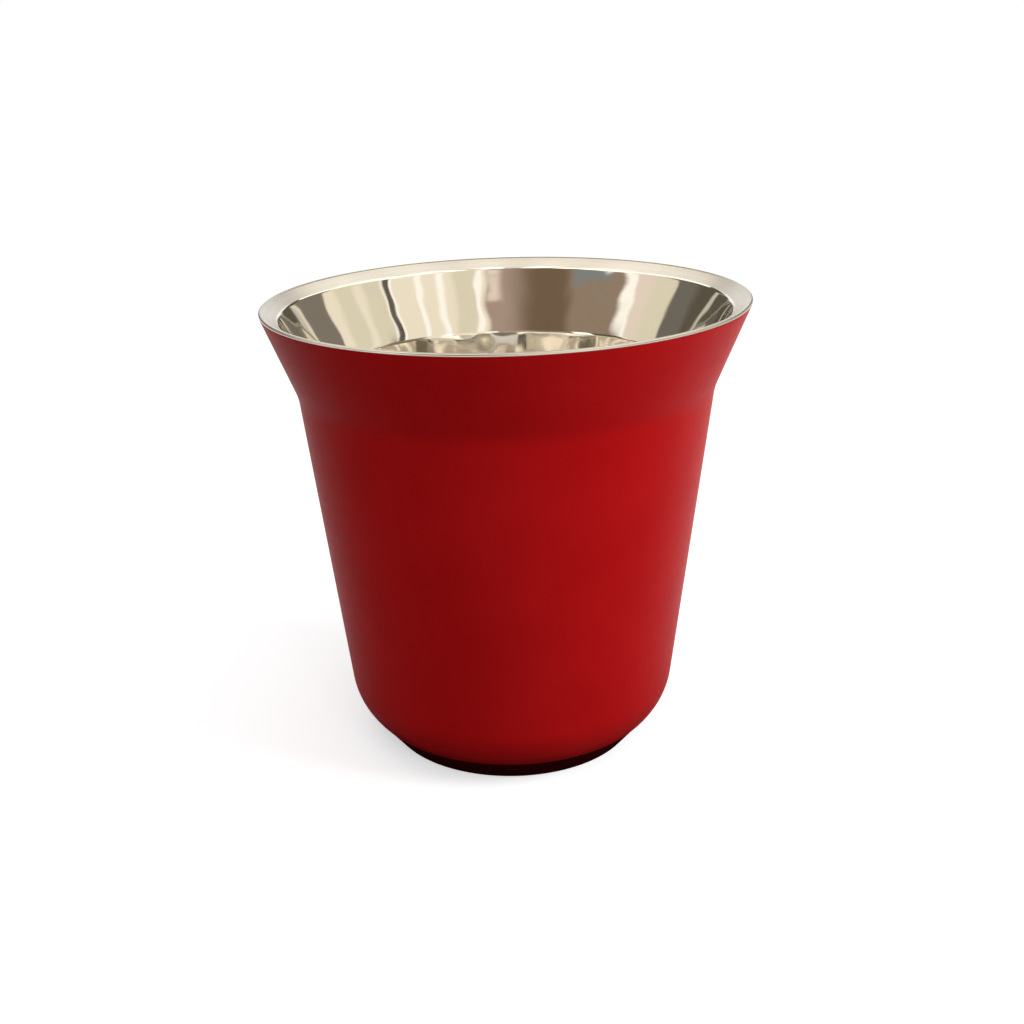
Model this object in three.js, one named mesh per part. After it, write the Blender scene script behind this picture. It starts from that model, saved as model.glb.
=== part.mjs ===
import * as THREE from "three";

// A double-walled steel espresso cup, in millimetres, +Z up. The origin is on the table, under the middle.
// Every piece is turned round the cup's axis, so each is drawn as a half section of radius and height.

// Overall form, measured on the outside
const HEIGHT = 68;
const RIM_DIAMETER = 70;
const FLARE_HEIGHT = 12.2;
const NECK_DIAMETER = 60.7;
const NECK_FILLET = 9;
const BODY_LEAN = THREE.MathUtils.degToRad(6.3);
const HEEL_RADIUS = 10.5;
const HEEL_BOTTOM = 0.8;

// Foot: a ring whose side leans in towards the table
const FOOT_HEIGHT = 3.8;
const FOOT_INSET = 3;
const FOOT_WIDTH = 3.5;
const FOOT_EDGE_ROUND = 0.4;

// Sheet metal, and the air between the walls
const SHELL_WALL = 0.6;
const LINER_WALL = 0.6;
const BASE_WALL = 0.6;
const AIR_GAP = 2.3;
const MOUTH_GAP = 1.45;
const FLOOR_GAP = 5.5;

// Rim: the inner cup's band slopes up to a round lip that covers the shell's upper edge
const BAND_DROP = 1.4;
const LIP_CROWN = 0.9;
const LIP_RADIUS = 0.3;

// Bends of the inner cup, on the tighter side of the sheet
const MOUTH_FILLET = 0.4;
const KNEE_FILLET = 0.5;
const KNEE_RISE = 1.4;
const FLOOR_FILLET = 12;

// Base plate: its raised edge laps the inside of the heel, and its middle is pressed up
const PLATE_TUCK = THREE.MathUtils.degToRad(14);
const PLATE_LAP = THREE.MathUtils.degToRad(12);
const DISH_BORDER = 6;
const DISH_RISE = 0.6;
const DISH_SLOPE = 1.2;

// Play between pieces that seat on each other
const SEAT_CLEARANCE = 0.1;

// Fineness of the round surfaces
const TURN_SEGMENTS = 64;
const ARC_STEP = THREE.MathUtils.degToRad(9);
const SMALL_ARC_STEP = THREE.MathUtils.degToRad(26);

const point = (radius, height) => new THREE.Vector2(radius, height);

function onCircle(centre, radius, angle) {
  return point(centre.x + radius * Math.cos(angle), centre.y + radius * Math.sin(angle));
}

// Points along an arc, with both of its ends
function arc(centre, radius, from, to, step = ARC_STEP) {
  const count = Math.ceil(Math.abs(to - from) / step);
  const angleAt = (index) => from + ((to - from) * index) / count;
  return Array.from({ length: count + 1 }, (_, index) => onCircle(centre, radius, angleAt(index)));
}

// The arc that rounds a corner between two straight sides; turn is 1 where the path turns left, -1 right
function bend(before, corner, after, radius) {
  const back = before.clone().sub(corner).normalize();
  const ahead = after.clone().sub(corner).normalize();
  const halfAngle = Math.acos(back.dot(ahead)) / 2;
  const towardsCentre = back.clone().add(ahead).normalize();
  const centre = corner.clone().addScaledVector(towardsCentre, radius / Math.sin(halfAngle));
  const turn = Math.sign(ahead.cross(back));
  const halfSweep = turn * (Math.PI / 2 - halfAngle);
  const middle = towardsCentre.negate().angle();
  return { centre, radius, turn, from: middle - halfSweep, to: middle + halfSweep };
}

// Points of a bend, or of the surface that runs beside it at a depth to the right of the path
function follow(bent, depth = 0, step = ARC_STEP) {
  return arc(bent.centre, bent.radius + bent.turn * depth, bent.from, bent.to, step);
}

// A piece turned from its half section, which closes on itself or starts and ends on the axis
function turned(name, section, material) {
  const isOnAxis = section[0].x === 0;
  const outline = isOnAxis ? section : [...section, section[0]];
  const geometry = new THREE.LatheGeometry(outline, TURN_SEGMENTS);
  geometry.rotateX(Math.PI / 2);
  const mesh = new THREE.Mesh(geometry, material);
  mesh.name = name;
  return mesh;
}

// The band runs from the mouth to the lip's crown, which it meets as a tangent
const rimRadius = RIM_DIAMETER / 2;
const mouth = point(rimRadius - SHELL_WALL - MOUTH_GAP - LINER_WALL, HEIGHT - BAND_DROP);
const lipCentre = point(rimRadius - LIP_RADIUS, HEIGHT - LIP_RADIUS);
const crownCentre = point(lipCentre.x, HEIGHT - LIP_CROWN);
const toCrown = crownCentre.clone().sub(mouth);
const bandSlope = Math.atan2(toCrown.y, toCrown.x) + Math.asin(LIP_CROWN / toCrown.length());
const crownStart = bandSlope + Math.PI / 2;
const bandTop = onCircle(crownCentre, LIP_CROWN, crownStart);

// A point on a line that runs beside the band, at a depth below it
function underBand(radius, depth) {
  const height = bandTop.y + (radius - bandTop.x) * Math.tan(bandSlope);
  return point(radius, height - depth / Math.cos(bandSlope));
}

// The shell's upper edge is cut to the band's slope, under the lip
const cutDepth = LINER_WALL + SEAT_CLEARANCE;
const shellTop = underBand(rimRadius, cutDepth);
const neck = point(NECK_DIAMETER / 2, HEIGHT - FLARE_HEIGHT);
const flareLean = Math.atan2(shellTop.x - neck.x, shellTop.y - neck.y);
const cutWidth = (SHELL_WALL * Math.cos(bandSlope)) / Math.cos(bandSlope + flareLean);
const shellTopInside = underBand(rimRadius - cutWidth, cutDepth);

// Radius of a wall that runs beside the tapered body, at a depth below its outer surface
function bodyRadius(height, depth) {
  return neck.x + (height - neck.y) * Math.tan(BODY_LEAN) - depth / Math.cos(BODY_LEAN);
}

// The heel's arc: its angles are measured downwards from the outward direction
const heelHeight = HEEL_BOTTOM + HEEL_RADIUS;
const heelCentre = point(bodyRadius(heelHeight, HEEL_RADIUS), heelHeight);
const footAngle = Math.asin((heelHeight - FOOT_HEIGHT) / HEEL_RADIUS);
const shellEndAngle = footAngle - SEAT_CLEARANCE / HEEL_RADIUS;
const plateEndAngle = footAngle + PLATE_TUCK;
const plateRadius = HEEL_RADIUS - SHELL_WALL - SEAT_CLEARANCE;
const plateBottom = heelHeight - plateRadius * Math.sin(plateEndAngle);
const plateTop = plateBottom + BASE_WALL;

function outerShell(material) {
  const heelTangent = onCircle(heelCentre, HEEL_RADIUS, -BODY_LEAN);
  const neckBend = bend(shellTop, neck, heelTangent, NECK_FILLET);
  const outside = [
    shellTop,
    ...follow(neckBend),
    ...arc(heelCentre, HEEL_RADIUS, -BODY_LEAN, -shellEndAngle),
  ];
  const inside = [
    ...arc(heelCentre, HEEL_RADIUS - SHELL_WALL, -shellEndAngle, -BODY_LEAN),
    ...follow(neckBend, SHELL_WALL).reverse(),
    shellTopInside,
  ];
  return turned("outer_shell", [...outside, ...inside].reverse(), material);
}

function innerCup(material) {
  const floor = plateTop + DISH_RISE + FLOOR_GAP + LINER_WALL;
  const wallDepth = SHELL_WALL + AIR_GAP + LINER_WALL;
  const kneeHeight = neck.y + KNEE_RISE;
  const middle = point(0, floor);
  const floorEdge = point(bodyRadius(floor, wallDepth), floor);
  const knee = point(bodyRadius(kneeHeight, wallDepth), kneeHeight);
  const lipCrest = Math.PI / 2;

  const floorBend = bend(middle, floorEdge, knee, FLOOR_FILLET);
  const kneeBend = bend(floorEdge, knee, mouth, KNEE_FILLET + LINER_WALL);
  const mouthBend = bend(knee, mouth, bandTop, MOUTH_FILLET + LINER_WALL);
  const inside = [
    middle,
    ...follow(floorBend),
    ...follow(kneeBend),
    ...follow(mouthBend),
    ...arc(crownCentre, LIP_CROWN, crownStart, lipCrest),
    ...arc(lipCentre, LIP_RADIUS, lipCrest, 0, SMALL_ARC_STEP).slice(1),
  ];
  const outside = [
    underBand(rimRadius, LINER_WALL),
    ...follow(mouthBend, LINER_WALL).reverse(),
    ...follow(kneeBend, LINER_WALL).reverse(),
    ...follow(floorBend, LINER_WALL).reverse(),
    point(0, floor - LINER_WALL),
  ];
  return turned("inner_cup", [...inside, ...outside].reverse(), material);
}

function basePlate(material) {
  const lapAngle = footAngle - PLATE_LAP;
  const dishEdge = onCircle(heelCentre, plateRadius, -plateEndAngle).x - DISH_BORDER;
  const dishRadius = dishEdge - DISH_SLOPE;
  const under = [
    point(0, plateBottom + DISH_RISE),
    point(dishRadius, plateBottom + DISH_RISE),
    point(dishEdge, plateBottom),
    ...arc(heelCentre, plateRadius, -plateEndAngle, -lapAngle),
  ];
  const innerRadius = plateRadius - BASE_WALL;
  const innerEndAngle = Math.asin((heelHeight - plateTop) / innerRadius);
  const over = [
    ...arc(heelCentre, innerRadius, -lapAngle, -innerEndAngle),
    point(dishEdge, plateTop),
    point(dishRadius, plateTop + DISH_RISE),
    point(0, plateTop + DISH_RISE),
  ];
  return turned("base_plate", [...under, ...over], material);
}

function footRing(material) {
  const top = onCircle(heelCentre, HEEL_RADIUS, -footAngle);
  const bottomOuter = point(top.x - FOOT_INSET, 0);
  const bottomInner = point(bottomOuter.x - FOOT_WIDTH, 0);

  // Under the shell's edge the ring wraps the round corner of the plate
  const seatRadius = plateRadius + SEAT_CLEARANCE;
  const ceiling = plateBottom - SEAT_CLEARANCE;
  const seatEndAngle = Math.asin((heelHeight - ceiling) / seatRadius);
  const innerTop = point(bottomInner.x, ceiling);
  const outerRound = bend(bottomInner, bottomOuter, top, FOOT_EDGE_ROUND);
  const innerRound = bend(innerTop, bottomInner, bottomOuter, FOOT_EDGE_ROUND);
  const section = [
    ...follow(innerRound, 0, SMALL_ARC_STEP),
    ...follow(outerRound, 0, SMALL_ARC_STEP),
    top,
    ...arc(heelCentre, seatRadius, -footAngle, -seatEndAngle),
    innerTop,
  ];
  return turned("foot_ring", section, material);
}

const redLacquer = new THREE.MeshStandardMaterial({ color: 0xaa1012, roughness: 0.42, metalness: 0 });
const polishedSteel = new THREE.MeshStandardMaterial({ color: 0xe0dbd1, roughness: 0.08, metalness: 1 });
const plainSteel = new THREE.MeshStandardMaterial({ color: 0xb9b5ad, roughness: 0.35, metalness: 1 });
const darkRubber = new THREE.MeshStandardMaterial({ color: 0x1c0608, roughness: 0.7, metalness: 0 });

const cup = new THREE.Group();
cup.add(outerShell(redLacquer));
cup.add(innerCup(polishedSteel));
cup.add(basePlate(plainSteel));
cup.add(footRing(darkRubber));

export default cup;
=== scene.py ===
"""A double-walled espresso cup, red outside and polished inside, standing in a plain white studio."""

import math

import bmesh
import bpy
from mathutils import Matrix, Vector, noise


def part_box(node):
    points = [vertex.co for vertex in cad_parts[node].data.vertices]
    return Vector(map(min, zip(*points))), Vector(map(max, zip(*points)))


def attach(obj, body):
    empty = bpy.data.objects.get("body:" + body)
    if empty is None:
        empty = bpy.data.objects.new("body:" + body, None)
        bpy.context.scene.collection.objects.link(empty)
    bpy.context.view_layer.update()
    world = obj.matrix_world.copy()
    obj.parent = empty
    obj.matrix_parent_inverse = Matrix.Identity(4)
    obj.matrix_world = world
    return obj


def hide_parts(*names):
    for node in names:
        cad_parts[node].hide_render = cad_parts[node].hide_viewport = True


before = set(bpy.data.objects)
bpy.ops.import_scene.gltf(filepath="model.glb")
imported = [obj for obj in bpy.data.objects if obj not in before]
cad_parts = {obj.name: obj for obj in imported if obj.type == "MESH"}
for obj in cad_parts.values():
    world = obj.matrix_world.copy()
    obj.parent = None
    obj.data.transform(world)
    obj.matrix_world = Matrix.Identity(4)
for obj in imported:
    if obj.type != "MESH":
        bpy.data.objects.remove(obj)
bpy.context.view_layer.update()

MM = 0.001

# The part's own levels and radii, in millimetres
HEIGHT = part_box("inner_cup")[1].z / MM
RIM_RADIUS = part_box("inner_cup")[1].x / MM
LINER_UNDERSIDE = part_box("inner_cup")[0].z / MM
PLATE_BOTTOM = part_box("base_plate")[0].z / MM

# Outer form, in millimetres
FLARE_HEIGHT = 12.2
NECK_RADIUS = 30.35
NECK_FILLET = 9
BODY_LEAN = math.radians(6.3)
HEEL_RADIUS = 10.5
HEEL_BOTTOM = 0.8
FOOT_HEIGHT = 3.8
FOOT_INSET = 3
FOOT_WIDTH = 3.5

# Sheet metal and the gaps between the pieces
WALL = 0.6
AIR_GAP = 2.3
MOUTH_GAP = 1.45
SEAT_CLEARANCE = 0.1
PAINTED_SEAM = 0.02

# Rim and inner cup
BAND_DROP = 1.4
LIP_CROWN = 0.9
LIP_RADIUS = 0.3
MOUTH_FILLET = 0.4
KNEE_FILLET = 0.5
KNEE_RISE = 1.4
FLOOR_FILLET = 12

# Base plate
PLATE_TUCK = math.radians(14)
PLATE_LAP = math.radians(12)
DISH_BORDER = 6
DISH_RISE = 0.6
DISH_SLOPE = 1.2
PRESS_ROUND = 0.8

# Small rounds on edges
PAINT_EDGE_ROUND = 0.05
FOOT_EDGE_ROUND = 0.4
FOOT_TOP_ROUND = 0.12

# Fineness of the meshes
TURN_SEGMENTS = 256
LONGEST_FACE = 0.9
FINE_STEP = math.radians(3)
SMALL_STEP = math.radians(12)
HIDDEN_STEP = math.radians(9)
SHARP_EDGE = math.radians(40)

# The polishing leaves the inner cup's wall very slightly uneven: long upright waves and short dimples,
# which fade out just below the mouth
WAVE_DEPTH = 0.06
WAVE_LENGTH = 8
WAVE_STRETCH = 2.5
DIMPLE_DEPTH = 0.03
DIMPLE_LENGTH = 2.8
EVEN_BORDER = 1.8

# Finest relief of the finishes, in metres
ORANGE_PEEL_DEPTH = 4e-6
PAINT_GRAIN_DEPTH = 1.2e-6
POLISH_MARK_DEPTH = 2e-7
BAND_LINE_DEPTH = 4e-7
SPIN_LINE_DEPTH = 4e-6
RUBBER_GRAIN_DEPTH = 1e-5

# Most values of a noise lie in this range
NOISE_LOW = 0.3
NOISE_HIGH = 0.7

# How strongly the two dull finishes shine
LACQUER_SHINE = 0.035
RUBBER_SHINE = 0.004

# Colours, linear
RED = (0.42, 0.006, 0.007)
DEEP_RED = (0.385, 0.0045, 0.0055)
STEEL = (0.75, 0.71, 0.64)
BAND_STEEL = (0.575, 0.535, 0.465)
PLATE_STEEL = (0.48, 0.46, 0.42)
# The foot ring's two colours are dark rubber with painted shade: their maroon tint paints the shade under
# the heel and the red shell's light reflected into it
RUBBER_AND_PAINTED_SHADE = (0.03, 0.0014, 0.0016)
RUBBER_DUST_AND_PAINTED_SHADE = (0.038, 0.0022, 0.0024)


def point(radius, height):
    return Vector((radius, height))


def on_circle(centre, radius, angle):
    return centre + radius * point(math.cos(angle), math.sin(angle))


def arc(centre, radius, start, end, step=FINE_STEP):
    """Points along an arc, with both of its ends."""
    count = max(1, math.ceil(abs(end - start) / step))
    return [on_circle(centre, radius, start + (end - start) * i / count) for i in range(count + 1)]


def bend(before, corner, after, radius, depth=0, step=FINE_STEP):
    """Points that round a corner, or that run beside it at a depth to the right of the path."""
    back = (before - corner).normalized()
    ahead = (after - corner).normalized()
    half_angle = math.acos(back.dot(ahead)) / 2
    inward = (back + ahead).normalized()
    centre = corner + inward * radius / math.sin(half_angle)
    turn = math.copysign(1, ahead.x * back.y - ahead.y * back.x)
    half_sweep = turn * (math.pi / 2 - half_angle)
    middle = math.atan2(-inward.y, -inward.x)
    return arc(centre, radius + turn * depth, middle - half_sweep, middle + half_sweep, step)


def dense(points):
    """The same line, with its long straight stretches divided."""
    line = points[:1]
    for end in points[1:]:
        start = line[-1]
        count = max(1, math.ceil((end - start).length / LONGEST_FACE))
        line += [start.lerp(end, i / count) for i in range(1, count + 1)]
    return line


# The band runs from the mouth to the lip's crown, which it meets as a tangent
mouth = point(RIM_RADIUS - WALL - MOUTH_GAP - WALL, HEIGHT - BAND_DROP)
lip_centre = point(RIM_RADIUS - LIP_RADIUS, HEIGHT - LIP_RADIUS)
crown_centre = point(lip_centre.x, HEIGHT - LIP_CROWN)
to_crown = crown_centre - mouth
band_slope = math.atan2(to_crown.y, to_crown.x) + math.asin(LIP_CROWN / to_crown.length)
crown_start = band_slope + math.pi / 2
band_top = on_circle(crown_centre, LIP_CROWN, crown_start)


def under_band(radius, depth):
    """A point on a line that runs beside the band, at a depth below it."""
    height = band_top.y + (radius - band_top.x) * math.tan(band_slope)
    return point(radius, height - depth / math.cos(band_slope))


# The shell's upper edge is cut to the band's slope, under the lip, and its paint all but closes the seam
cut_depth = WALL + PAINTED_SEAM
shell_top = under_band(RIM_RADIUS, cut_depth)
neck = point(NECK_RADIUS, HEIGHT - FLARE_HEIGHT)
flare_lean = math.atan2(shell_top.x - neck.x, shell_top.y - neck.y)
cut_width = WALL * math.cos(band_slope) / math.cos(band_slope + flare_lean)
shell_top_inside = under_band(RIM_RADIUS - cut_width, cut_depth)


def body_radius(height, depth):
    """Radius of a wall that runs beside the tapered body, at a depth below its outer surface."""
    return neck.x + (height - neck.y) * math.tan(BODY_LEAN) - depth / math.cos(BODY_LEAN)


# The heel's arc: its angles are measured downwards from the outward direction
heel_height = HEEL_BOTTOM + HEEL_RADIUS
heel_centre = point(body_radius(heel_height, HEEL_RADIUS), heel_height)
foot_angle = math.asin((heel_height - FOOT_HEIGHT) / HEEL_RADIUS)
shell_end_angle = foot_angle - SEAT_CLEARANCE / HEEL_RADIUS
plate_end_angle = foot_angle + PLATE_TUCK
plate_radius = HEEL_RADIUS - WALL - SEAT_CLEARANCE


def shell_runs(paint):
    """Outer shell: from the top edge down the outside, round the lower edge and up the inside."""
    heel_tangent = on_circle(heel_centre, HEEL_RADIUS, -BODY_LEAN)
    outer_edge = bend(shell_top_inside, shell_top, neck, PAINT_EDGE_ROUND, step=SMALL_STEP)
    outside = [
        *outer_edge,
        *bend(shell_top, neck, heel_tangent, NECK_FILLET),
        *arc(heel_centre, HEEL_RADIUS, -BODY_LEAN, -shell_end_angle),
    ]
    inside = [
        *arc(heel_centre, HEEL_RADIUS - WALL, -shell_end_angle, -BODY_LEAN, HIDDEN_STEP),
        *reversed(bend(shell_top, neck, heel_tangent, NECK_FILLET, depth=WALL, step=HIDDEN_STEP)),
        shell_top_inside,
    ]
    return [(dense(outside), paint), (inside, paint)]


def liner_runs(polish, band_finish):
    """Inner cup: from the middle of its floor up the inside, over the lip and down the hidden side."""
    floor = LINER_UNDERSIDE + WALL
    wall_depth = WALL + AIR_GAP + WALL
    knee_height = neck.y + KNEE_RISE
    middle = point(0, floor)
    floor_edge = point(body_radius(floor, wall_depth), floor)
    knee = point(body_radius(knee_height, wall_depth), knee_height)

    floor_corner = (middle, floor_edge, knee, FLOOR_FILLET)
    knee_corner = (floor_edge, knee, mouth, KNEE_FILLET + WALL)
    mouth_corner = (knee, mouth, band_top, MOUTH_FILLET + WALL)
    mouth_bend = bend(*mouth_corner)
    bowl = [middle, *bend(*floor_corner), *bend(*knee_corner), *mouth_bend[:-1]]
    rim = [
        mouth_bend[-1],
        *arc(crown_centre, LIP_CROWN, crown_start, math.pi / 2),
        *arc(lip_centre, LIP_RADIUS, math.pi / 2, 0, SMALL_STEP)[1:],
        under_band(RIM_RADIUS, WALL),
    ]
    hidden = [
        *reversed(bend(*mouth_corner, depth=WALL, step=HIDDEN_STEP)),
        *reversed(bend(*knee_corner, depth=WALL, step=HIDDEN_STEP)),
        *reversed(bend(*floor_corner, depth=WALL, step=HIDDEN_STEP)),
        point(0, floor - WALL),
    ]
    return [(dense(bowl), polish), (dense(rim), band_finish), (hidden, polish)]


def plate_runs(steel):
    """Base plate: a disc whose middle is pressed up and whose edge laps the inside of the heel."""
    plate_top = PLATE_BOTTOM + WALL
    lap_angle = foot_angle - PLATE_LAP
    edge = on_circle(heel_centre, plate_radius, -plate_end_angle)
    dish_edge = edge.x - DISH_BORDER
    dish_radius = dish_edge - DISH_SLOPE
    inner_radius = plate_radius - WALL
    inner_end_angle = math.asin((heel_height - plate_top) / inner_radius)
    inner_edge = on_circle(heel_centre, inner_radius, -inner_end_angle)

    def dish(level, outer):
        """The pressed middle at a level, from the axis out."""
        middle = point(0, level + DISH_RISE)
        crest = point(dish_radius, level + DISH_RISE)
        toe = point(dish_edge, level)
        rounds = [
            *bend(middle, crest, toe, PRESS_ROUND, step=SMALL_STEP),
            *bend(crest, toe, outer, PRESS_ROUND, step=SMALL_STEP),
        ]
        return [middle, *rounds]

    under = [*dish(PLATE_BOTTOM, edge), *arc(heel_centre, plate_radius, -plate_end_angle, -lap_angle)]
    over = [
        *arc(heel_centre, inner_radius, -lap_angle, -inner_end_angle, HIDDEN_STEP),
        *reversed(dish(plate_top, inner_edge)),
    ]
    return [(dense(under), steel), (over, steel)]


def foot_runs(rubber):
    """Foot ring: its side leans in towards the table, and its top wraps the plate's corner."""
    seat_radius = plate_radius + SEAT_CLEARANCE
    top = on_circle(heel_centre, HEEL_RADIUS, -foot_angle)
    seat = on_circle(heel_centre, seat_radius, -foot_angle)
    bottom_outer = point(top.x - FOOT_INSET, 0)
    bottom_inner = point(bottom_outer.x - FOOT_WIDTH, 0)
    ceiling = PLATE_BOTTOM - SEAT_CLEARANCE
    seat_end_angle = math.asin((heel_height - ceiling) / seat_radius)
    inner_top = point(bottom_inner.x, ceiling)
    section = [
        *bend(inner_top, bottom_inner, bottom_outer, FOOT_EDGE_ROUND, step=SMALL_STEP),
        *bend(bottom_inner, bottom_outer, top, FOOT_EDGE_ROUND, step=SMALL_STEP),
        *bend(bottom_outer, top, seat, FOOT_TOP_ROUND, step=SMALL_STEP),
        *arc(heel_centre, seat_radius, -foot_angle, -seat_end_angle, HIDDEN_STEP),
        inner_top,
    ]
    return [(dense(section), rubber)]


def ripple(place):
    """How far the polished wall stands in or out at a place, in millimetres."""
    upright = Vector((place.x, place.y, place.z / WAVE_STRETCH))
    wave = WAVE_DEPTH * noise.noise(upright / WAVE_LENGTH)
    dimple = DIMPLE_DEPTH * noise.noise(place / DIMPLE_LENGTH)
    below_mouth = max(0, mouth.y - place.z)
    return (wave + dimple) * min(1, below_mouth / EVEN_BORDER)


def ring_of(mesh, spot, uneven):
    """The vertices of one turn of a half section's point: a single one on the axis."""
    if spot.x == 0:
        return [mesh.verts.new((0, 0, spot.y * MM))]
    ring = []
    for i in range(TURN_SEGMENTS):
        angle = 2 * math.pi * i / TURN_SEGMENTS
        outward = Vector((math.cos(angle), math.sin(angle), 0))
        place = outward * spot.x + Vector((0, 0, spot.y))
        if uneven:
            place += outward * ripple(place)
        ring.append(mesh.verts.new(place * MM))
    return ring


def turned(node, runs, uneven_finish=None):
    """A closed mesh, turned from a half section, that stands for a node. Each run is (points, finish)."""
    mesh = bmesh.new()
    finishes = list(dict.fromkeys(finish for _, finish in runs))
    rings = []
    for points, finish in runs:
        is_uneven = finish is uneven_finish and points[-1].x > 0
        rings += [(ring_of(mesh, spot, is_uneven), finishes.index(finish)) for spot in points]
    is_closed_on_axis = runs[0][0][0].x == 0
    following = rings[1:] if is_closed_on_axis else rings[1:] + rings[:1]
    for (lower, index), (upper, _) in zip(rings, following):
        for i in range(TURN_SEGMENTS):
            j = (i + 1) % TURN_SEGMENTS
            corners = [
                lower[i % len(lower)],
                lower[j % len(lower)],
                upper[j % len(upper)],
                upper[i % len(upper)],
            ]
            face = mesh.faces.new(list(dict.fromkeys(corners)))
            face.material_index = index
            face.smooth = True
    bmesh.ops.recalc_face_normals(mesh, faces=mesh.faces)
    data = bpy.data.meshes.new(f"{node}_turned")
    mesh.to_mesh(data)
    mesh.free()
    data.set_sharp_from_angle(angle=SHARP_EDGE)
    for finish in finishes:
        data.materials.append(finish)
    piece = bpy.data.objects.new(f"{node}_turned", data)
    bpy.context.scene.collection.objects.link(piece)
    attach(piece, "root")
    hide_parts(node)


class Tree:
    """A node tree under construction."""

    def __init__(self, owner):
        owner.use_nodes = True
        self.nodes = owner.node_tree.nodes
        self.links = owner.node_tree.links

    def add(self, kind, inputs=None, **settings):
        """A node with its settings, and its inputs linked to sockets or set to values."""
        node = self.nodes.new(kind)
        for key, value in settings.items():
            setattr(node, key, value)
        for key, value in (inputs or {}).items():
            if isinstance(value, bpy.types.NodeSocket):
                self.links.new(value, node.inputs[key])
            else:
                node.inputs[key].default_value = value
        return node

    def math(self, operation, first, second=0):
        return self.add("ShaderNodeMath", {0: first, 1: second}, operation=operation).outputs[0]

    def rise(self, value, start, end):
        """A number that goes smoothly from 0 to 1 as a value passes from start to end."""
        inputs = {"Value": value, "From Min": start, "From Max": end}
        return self.add("ShaderNodeMapRange", inputs, interpolation_type="SMOOTHSTEP").outputs["Result"]

    def after(self, value, limit, edge):
        """1 where a value is past a limit, with a soft edge."""
        return self.rise(value, limit - edge / 2, limit + edge / 2)

    def before(self, value, limit, edge):
        """1 where a value hasn't reached a limit, with a soft edge."""
        return self.rise(value, limit + edge / 2, limit - edge / 2)

    def within(self, value, low, high, edge):
        """1 where a value lies between two others, with soft edges."""
        return self.math("MULTIPLY", self.after(value, low, edge), self.before(value, high, edge))

    def mix(self, factor, first, second):
        """A colour between two."""
        inputs = {"Factor": factor, "A": first, "B": second}
        return self.add("ShaderNodeMix", inputs, data_type="RGBA").outputs["Result"]

    def choose(self, factor, first, second):
        """A shader that is the second one where the factor is 1."""
        inputs = {"Fac": factor, 1: first.outputs[0], 2: second.outputs[0]}
        return self.add("ShaderNodeMixShader", inputs)


class Finish(Tree):
    """A procedural material under construction, with its Principled shader."""

    def __init__(self, name, **sockets):
        self.material = bpy.data.materials.new(name)
        super().__init__(self.material)
        self.shader = self.nodes["Principled BSDF"]
        for socket, value in sockets.items():
            self.shader.inputs[socket.replace("_", " ")].default_value = value

    def place(self):
        """Where a point is on the cup, in metres."""
        return self.add("ShaderNodeTexCoord").outputs["Object"]

    def stretched(self, factors):
        """The place, stretched along the axes."""
        scaled = self.add("ShaderNodeVectorMath", {0: self.place(), 1: factors}, operation="MULTIPLY")
        return scaled.outputs["Vector"]

    def turning(self, along_radius, along_height):
        """A coordinate that is the same all the way round the cup, for marks that follow the turning."""
        flat = self.stretched((1, 1, 0))
        radius = self.add("ShaderNodeVectorMath", {0: flat}, operation="LENGTH").outputs["Value"]
        height = self.add("ShaderNodeSeparateXYZ", {0: self.place()}).outputs["Z"]
        wide = self.math("MULTIPLY", radius, along_radius)
        tall = self.math("MULTIPLY", height, along_height)
        return self.add("ShaderNodeCombineXYZ", {"X": wide, "Z": tall}).outputs["Vector"]

    def noise(self, scale, vector=None, detail=2):
        """A noise from 0 to 1; its scale is in waves per metre."""
        inputs = {"Vector": vector or self.place(), "Scale": scale, "Detail": detail}
        return self.add("ShaderNodeTexNoise", inputs).outputs["Fac"]

    def between(self, noise_value, low, high):
        """A number that follows a noise between two values."""
        source = {"Value": noise_value, "From Min": NOISE_LOW, "From Max": NOISE_HIGH}
        target = {"To Min": low, "To Max": high}
        return self.add("ShaderNodeMapRange", {**source, **target}).outputs["Result"]

    def set_colour(self, noise_value, first, second):
        """A base colour that varies between two with a noise."""
        ramp = self.add("ShaderNodeValToRGB", {"Fac": noise_value})
        low_end, high_end = ramp.color_ramp.elements
        low_end.position = NOISE_LOW
        low_end.color = (*first, 1)
        high_end.position = NOISE_HIGH
        high_end.color = (*second, 1)
        self.links.new(ramp.outputs["Color"], self.shader.inputs["Base Color"])

    def set_roughness(self, noise_value, low, high):
        self.links.new(self.between(noise_value, low, high), self.shader.inputs["Roughness"])

    def set_relief(self, *layers):
        """Bumps laid over each other; each layer is (height, depth in metres)."""
        normal = None
        for height, depth in layers:
            inputs = {"Height": height, "Distance": depth, "Strength": 1}
            if normal:
                inputs["Normal"] = normal
            normal = self.add("ShaderNodeBump", inputs).outputs["Normal"]
        self.links.new(normal, self.shader.inputs["Normal"])


def tone(colour, level):
    """A lighter or darker tone of a colour."""
    return [level * part for part in colour]


def red_lacquer():
    """Satin lacquer with a faint orange peel."""
    finish = Finish("red_lacquer", Specular_IOR_Level=LACQUER_SHINE)
    finish.set_colour(finish.noise(scale=90, detail=4), DEEP_RED, RED)
    finish.set_roughness(finish.noise(scale=700, detail=3), low=0.43, high=0.47)
    orange_peel = finish.noise(scale=900)
    grain = finish.noise(scale=4500)
    finish.set_relief((orange_peel, ORANGE_PEEL_DEPTH), (grain, PAINT_GRAIN_DEPTH))
    return finish.material


def polished_steel():
    """Mirror polish with a little haze and fine polishing marks."""
    finish = Finish("polished_steel", Metallic=1)
    finish.set_colour(finish.noise(scale=60), tone(STEEL, level=0.97), STEEL)
    haze = finish.noise(scale=300, vector=finish.stretched((1, 1, 0.2)))
    finish.set_roughness(haze, low=0.035, high=0.07)
    marks = finish.noise(scale=2500, vector=finish.stretched((1, 1, 0.1)))
    finish.set_relief((marks, POLISH_MARK_DEPTH))
    return finish.material


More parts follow.
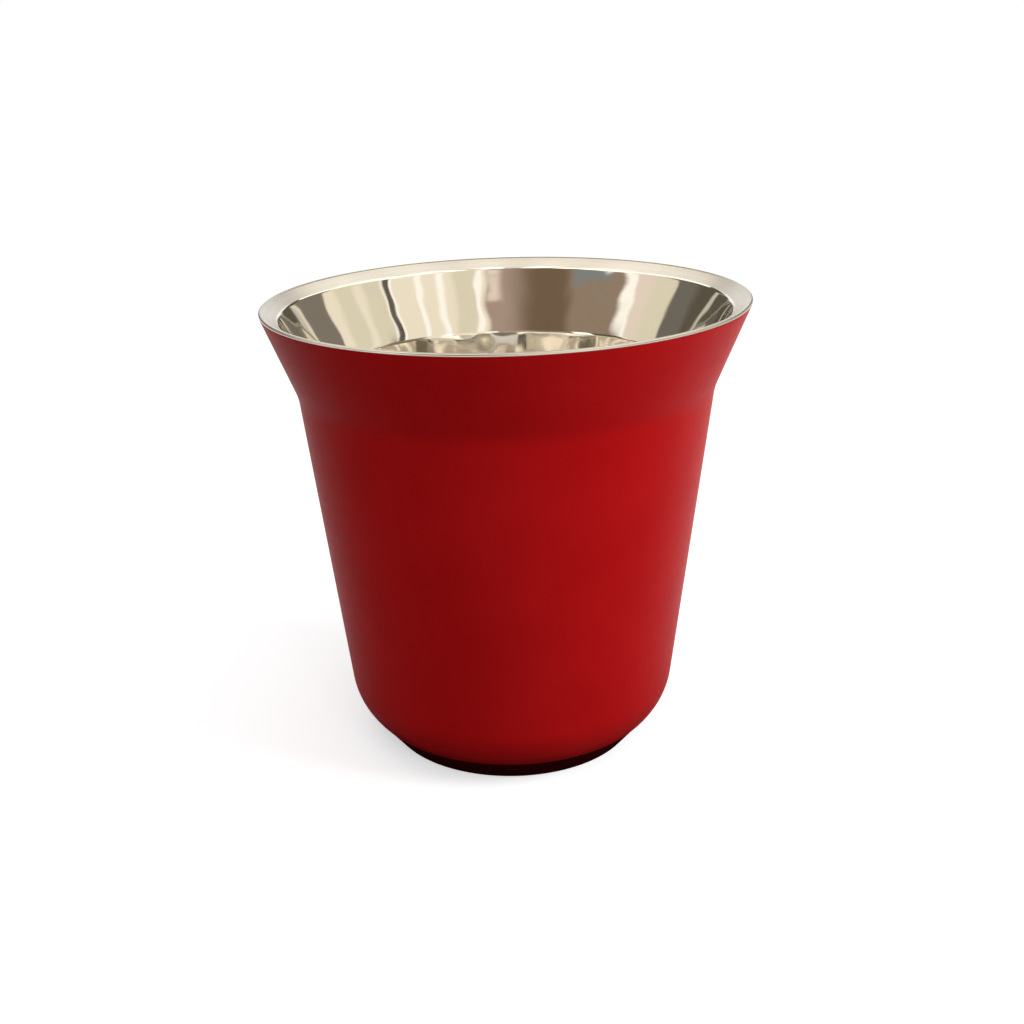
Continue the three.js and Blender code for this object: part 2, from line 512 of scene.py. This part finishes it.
def satin_band():
    """The rim's band and lip: turned steel with faint lines round it."""
    finish = Finish("satin_band", Metallic=1)
    lines = finish.noise(scale=1, vector=finish.turning(along_radius=1100, along_height=1100))
    finish.set_colour(lines, tone(BAND_STEEL, level=0.92), tone(BAND_STEEL, level=1.03))
    finish.set_roughness(finish.noise(scale=150), low=0.27, high=0.31)
    finish.set_relief((lines, BAND_LINE_DEPTH))
    return finish.material


def plain_steel():
    """Pressed sheet under the cup, with marks from spinning."""
    finish = Finish("plain_steel", Metallic=1)
    lines = finish.noise(scale=1, vector=finish.turning(along_radius=5000, along_height=2000), detail=4)
    finish.set_colour(finish.noise(scale=150, detail=4), tone(PLATE_STEEL, level=0.9), PLATE_STEEL)
    finish.set_roughness(finish.noise(scale=250, detail=4), low=0.28, high=0.42)
    finish.set_relief((lines, SPIN_LINE_DEPTH))
    return finish.material


def dark_rubber():
    """Matt moulded ring with a fine grain and a trace of dust, in a near-black maroon that also paints the
    shade under the heel and the red reflected into it.
    """
    finish = Finish("dark_rubber", Specular_IOR_Level=RUBBER_SHINE)
    finish.set_colour(finish.noise(scale=700, detail=6), RUBBER_AND_PAINTED_SHADE, RUBBER_DUST_AND_PAINTED_SHADE)
    finish.set_roughness(finish.noise(scale=900), low=0.62, high=0.8)
    finish.set_relief((finish.noise(scale=3500, detail=3), RUBBER_GRAIN_DEPTH))
    return finish.material


# Floor, in metres: it lies just below the foot, so that their faces don't coincide
FLOOR_SIZE = 12.0
FLOOR_LEVEL = -2e-5
FLOOR_WHITE = 0.9
FLOOR_GLOW = 0.45
FLOOR_BOUNCE = 0.03

# In reflections it is shaded close to the cup: how far that reaches, in metres, and how open the floor is
# where the shade is full and where it ends
FLOOR_SHADE_REACH = 0.04
FLOOR_SHADE = (0.55, 0.95)
FLOOR_SHADE_SAMPLES = 4

# The dome that lights the cup, and the white backdrop's top in reflections, in degrees
DOME_LEVEL = 0.65
BACKDROP_TOP = 4
WHITE = (1, 1, 1, 1)

# Colours that the polished steel sees round the studio
TUBE = (2.34, 2.28, 2.14, 1)
TUBE_GAP = (0.96, 0.91, 0.84, 1)
GLARE = (1.95, 1.92, 1.85, 1)
PALE = (1.36, 1.32, 1.24, 1)
CREAM = (1.12, 1.03, 0.85, 1)
STRAW = (0.94, 0.87, 0.69, 1)
PEARL = (1.17, 1.165, 1.16, 1)
BLUSH = (1.02, 0.88, 0.77, 1)
BEIGE = (0.72, 0.66, 0.57, 1)
SHADE = (0.34, 0.32, 0.27, 1)
SLATE = (0.27, 0.30, 0.31, 1)
ROSE = (0.50, 0.38, 0.31, 1)
TAUPE = (0.36, 0.275, 0.20, 1)
BROWN = (0.21, 0.145, 0.095, 1)
ASH = (0.27, 0.24, 0.20, 1)
DUSK = (0.20, 0.185, 0.16, 1)
UMBER = (0.13, 0.115, 0.085, 1)

# Its walls, in degrees to the right of the front: where a colour starts, how soft that edge is, the colour
HIGH_WALL = [
    (-180, 0, PEARL),
    (-162, 3, UMBER),
    (-132, 8, DUSK),
    (-116, 3, STRAW),
    (-100, 6, BLUSH),
    (-89, 3, PALE),
    (-82, 4, TAUPE),
    (-46, 10, BROWN),
    (-12, 26, ROSE),
    (12, 5, CREAM),
    (15.5, 1.5, PALE),
    (19, 1.5, STRAW),
    (35, 6, CREAM),
    (41, 3, PALE),
    (46, 4, CREAM),
    (56, 3, PALE),
    (60.5, 2, CREAM),
    (74.5, 1, PALE),
    (76.3, 0.8, UMBER),
    (80.6, 0.8, PALE),
    (82.2, 1.5, STRAW),
    (94, 5, CREAM),
    (100, 4, STRAW),
    (114, 5, CREAM),
    (122, 1.5, ASH),
    (148, 6, UMBER),
    (162, 3, PEARL),
]
LOW_WALL = [
    (-180, 0, PEARL),
    (-164, 2, BEIGE),
    (-120, 2, PEARL),
    (-98, 2, GLARE),
    (-90, 2, UMBER),
    (100, 4, PALE),
    (112, 4, CREAM),
    (122, 4, STRAW),
    (152, 2, UMBER),
    (164, 3, PEARL),
]
SKIRTING = [
    (-180, 0, PEARL),
    (-164, 6, UMBER),
    (-95, 10, PALE),
    (90, 10, BEIGE),
    (151, 3, UMBER),
    (164, 6, PEARL),
]

# How high each wall starts above the skirting, and how soft that edge is, in degrees
WALL_LEVELS = [(11.8, 0.6, LOW_WALL), (13.4, 1, HIGH_WALL)]

# Patches that hang high on the walls: where they start and end, and their colour
PATCHES = [(-74, -48, SLATE), (2, 12, BLUSH)]
PATCH_EDGE = 7

# The patches' lower edge sinks to both sides: its height straight ahead, how fast it sinks, the height of
# the patches and how soft the edge is
PATCH_BOTTOM = 49.3
PATCH_SINK = 0.475
PATCH_HEIGHT = 3
PATCH_BOTTOM_EDGE = 0.9

# A low screen of panels stands before the cup, in degrees; at its foot it fades into glare
SCREEN = [
    (-180, 0, UMBER),
    (-62, 3, GLARE),
    (-48, 3, TAUPE),
    (-20, 8, ROSE),
    (4, 3, PALE),
    (14, 3, CREAM),
    (36, 2, GLARE),
    (42, 2, CREAM),
    (56, 6, ASH),
]
SCREEN_SIDES = (-85, 85)
SCREEN_FOOT = (8, 12)
SCREEN_TOP = 34
SCREEN_EDGE = 6

# The light bank over the cup, seen as a slope: sideways and away from the camera for each unit of height
BANK_SIDES = (-1.0, 1.0)
BANK_DEPTH = (-0.35, 1.75)
BANK_EDGE = 0.12
TUBE_SPACING = 0.22
TUBE_EDGE = 0.5

# A shaded strip straight behind the cup, in degrees from the front and up
STRIP_START = 162
STRIP_HEIGHTS = (24, 68)
STRIP_EDGE = 8


def seen_rays(tree):
    """1 for the camera's rays, and for mirrored or refracted ones where the cup doesn't shade the floor."""
    path = tree.add("ShaderNodeLightPath").outputs
    mirrored = tree.math("MAXIMUM", path["Is Glossy Ray"], path["Is Transmission Ray"])
    reach = {"Distance": FLOOR_SHADE_REACH}
    openness = tree.add("ShaderNodeAmbientOcclusion", reach, samples=FLOOR_SHADE_SAMPLES).outputs["AO"]
    open_mirrored = tree.math("MULTIPLY", mirrored, tree.rise(openness, *FLOOR_SHADE))
    return tree.math("MAXIMUM", path["Is Camera Ray"], open_mirrored)


def add_floor():
    """A pale floor with the cup's shadow: white to the eye and to mirrors, dull as a source of light."""
    bpy.ops.mesh.primitive_plane_add(size=FLOOR_SIZE, location=(0, 0, FLOOR_LEVEL))
    floor = bpy.context.object
    floor.name = "floor"
    material = bpy.data.materials.new("floor_white")
    tree = Tree(material)
    pale = tree.add("ShaderNodeBsdfDiffuse", {"Color": (FLOOR_WHITE, FLOOR_WHITE, FLOOR_WHITE, 1)})
    glow = tree.add("ShaderNodeEmission", {"Strength": FLOOR_GLOW})
    white = tree.add("ShaderNodeAddShader", {0: pale.outputs[0], 1: glow.outputs[0]})
    dull = tree.add("ShaderNodeBsdfDiffuse", {"Color": (FLOOR_BOUNCE, FLOOR_BOUNCE, FLOOR_BOUNCE, 1)})
    shown = tree.choose(seen_rays(tree), dull, white)
    tree.nodes.remove(tree.nodes["Principled BSDF"])
    tree.links.new(shown.outputs[0], tree.nodes["Material Output"].inputs["Surface"])
    floor.data.materials.append(material)


def panels(tree, azimuth, wall):
    """The colour of a wall of panels at an azimuth."""
    colour = wall[0][2]
    for start, edge, panel in wall[1:]:
        colour = tree.mix(tree.after(azimuth, start, edge), colour, panel)
    return colour


def walls(tree, azimuth, elevation):
    """The skirting, and the walls above it."""
    colour = panels(tree, azimuth, SKIRTING)
    for start, edge, wall in WALL_LEVELS:
        colour = tree.mix(tree.after(elevation, start, edge), colour, panels(tree, azimuth, wall))
    return colour


def with_patches(tree, colour, azimuth, elevation):
    """The studio, with the patches on its walls."""
    sunk = tree.math("COSINE", tree.math("MULTIPLY", azimuth, math.radians(PATCH_SINK)))
    above = tree.math("SUBTRACT", elevation, tree.math("MULTIPLY", sunk, PATCH_BOTTOM))
    at_height = tree.within(above, 0, PATCH_HEIGHT, PATCH_BOTTOM_EDGE)
    for start, end, patch in PATCHES:
        in_patch = tree.math("MULTIPLY", at_height, tree.within(azimuth, start, end, PATCH_EDGE))
        colour = tree.mix(in_patch, colour, patch)
    return colour


def with_screen(tree, colour, azimuth, elevation):
    """The studio, with the screen before the cup."""
    is_ahead = tree.within(azimuth, *SCREEN_SIDES, SCREEN_EDGE)
    is_low = tree.before(elevation, SCREEN_TOP, SCREEN_EDGE)
    screen = tree.mix(tree.rise(elevation, *SCREEN_FOOT), GLARE, panels(tree, azimuth, SCREEN))
    return tree.mix(tree.math("MULTIPLY", is_ahead, is_low), colour, screen)


def with_bank(tree, colour, across, away, up):
    """The studio, with the light bank and its tubes overhead."""
    sideways = tree.math("DIVIDE", across, up)
    in_depth = tree.within(tree.math("DIVIDE", away, up), *BANK_DEPTH, BANK_EDGE)
    in_bank = tree.math("MULTIPLY", tree.within(sideways, *BANK_SIDES, BANK_EDGE), in_depth)
    is_overhead = tree.math("MULTIPLY", in_bank, tree.math("GREATER_THAN", up, 0))
    swing = tree.math("SINE", tree.math("MULTIPLY", sideways, 2 * math.pi / TUBE_SPACING))
    bank = tree.mix(tree.rise(swing, -TUBE_EDGE, TUBE_EDGE), TUBE_GAP, TUBE)
    return tree.mix(is_overhead, colour, bank)


def with_strip(tree, colour, azimuth, elevation):
    """The studio, with the shaded strip behind the cup."""
    is_behind = tree.after(tree.math("ABSOLUTE", azimuth), STRIP_START, STRIP_EDGE)
    in_strip = tree.math("MULTIPLY", is_behind, tree.within(elevation, *STRIP_HEIGHTS, STRIP_EDGE))
    return tree.mix(in_strip, colour, SHADE)


def studio_colour(tree):
    """What a mirror sees in each direction, with a white backdrop low down."""
    direction = tree.add("ShaderNodeTexCoord").outputs["Generated"]
    across, away, up = tree.add("ShaderNodeSeparateXYZ", {0: direction}).outputs
    near = tree.math("MULTIPLY", away, -1)
    azimuth = tree.math("DEGREES", tree.math("ARCTAN2", across, near))
    elevation = tree.math("DEGREES", tree.math("ARCSINE", up))
    colour = walls(tree, azimuth, elevation)
    colour = with_patches(tree, colour, azimuth, elevation)
    colour = with_screen(tree, colour, azimuth, elevation)
    colour = with_bank(tree, colour, across, away, up)
    colour = with_strip(tree, colour, azimuth, elevation)
    return tree.mix(tree.rise(elevation, BACKDROP_TOP, 0), colour, WHITE)


def add_world():
    """White to the camera, a warm studio to mirrors, and a soft dome as a light."""
    world = bpy.data.worlds.new("studio")
    bpy.context.scene.world = world
    world.cycles.sampling_method = "NONE"
    tree = Tree(world)
    tree.nodes.clear()
    path = tree.add("ShaderNodeLightPath").outputs
    dome = tree.add("ShaderNodeBackground", {"Color": WHITE, "Strength": DOME_LEVEL})
    studio = tree.add("ShaderNodeBackground", {"Color": studio_colour(tree)})
    white = tree.add("ShaderNodeBackground", {"Color": WHITE})
    lit = tree.choose(path["Is Glossy Ray"], dome, studio)
    is_plain = tree.math("MAXIMUM", path["Is Camera Ray"], path["Is Transmission Ray"])
    shown = tree.choose(is_plain, lit, white)
    tree.add("ShaderNodeOutputWorld", {"Surface": shown.outputs[0]})


def add_softbox(name, azimuth, elevation, distance, size, power):
    """A square lamp that faces the cup; it lights the cup but doesn't show in the polished steel."""
    lamp = bpy.data.lights.new(name, "AREA")
    lamp.size = size
    lamp.energy = power
    turn = math.radians(azimuth)
    rise = math.radians(elevation)
    towards = Vector((math.sin(turn) * math.cos(rise), -math.cos(turn) * math.cos(rise), math.sin(rise)))
    holder = bpy.data.objects.new(name, lamp)
    holder.location = towards * distance + Vector((0, 0, HEIGHT * MM / 2))
    holder.rotation_euler = towards.to_track_quat("Z", "Y").to_euler()
    holder.visible_camera = False
    holder.visible_glossy = False
    bpy.context.scene.collection.objects.link(holder)


# Camera: where it stands, in millimetres, and how it is turned
CAMERA_PLACE = Vector((0, -190.14, 104.33))
CAMERA_HEADING = math.radians(2.724)
CAMERA_TILT = math.radians(23.358)
CAMERA_ROLL = math.radians(-2.284)
CAMERA_LENS = 46.286
CAMERA_SHIFT = (0.0586, 0.0781)
SENSOR_WIDTH = 36
CLIP_START = 0.01
UPRIGHT = math.radians(90)


def add_camera():
    """The photograph's view: slightly above the rim, a little rolled."""
    data = bpy.data.cameras.new("camera")
    data.sensor_width = SENSOR_WIDTH
    data.lens = CAMERA_LENS
    data.shift_x, data.shift_y = CAMERA_SHIFT
    data.clip_start = CLIP_START
    camera = bpy.data.objects.new("camera", data)
    heading = Matrix.Rotation(CAMERA_HEADING, 4, "Z")
    tilt = Matrix.Rotation(UPRIGHT - CAMERA_TILT, 4, "X")
    roll = Matrix.Rotation(CAMERA_ROLL, 4, "Z")
    camera.matrix_world = Matrix.Translation(CAMERA_PLACE * MM) @ heading @ tilt @ roll
    bpy.context.scene.collection.objects.link(camera)
    bpy.context.scene.camera = camera


polish = polished_steel()
turned("outer_shell", shell_runs(red_lacquer()))
turned("inner_cup", liner_runs(polish, satin_band()), uneven_finish=polish)
turned("base_plate", plate_runs(plain_steel()))
turned("foot_ring", foot_runs(dark_rubber()))

add_floor()
add_world()
add_softbox("key", azimuth=70, elevation=22, distance=0.25, size=0.12, power=0.388)
add_softbox("fill", azimuth=10, elevation=22, distance=0.25, size=0.12, power=0.13)
add_camera()
bpy.context.scene.view_settings.view_transform = "Standard"
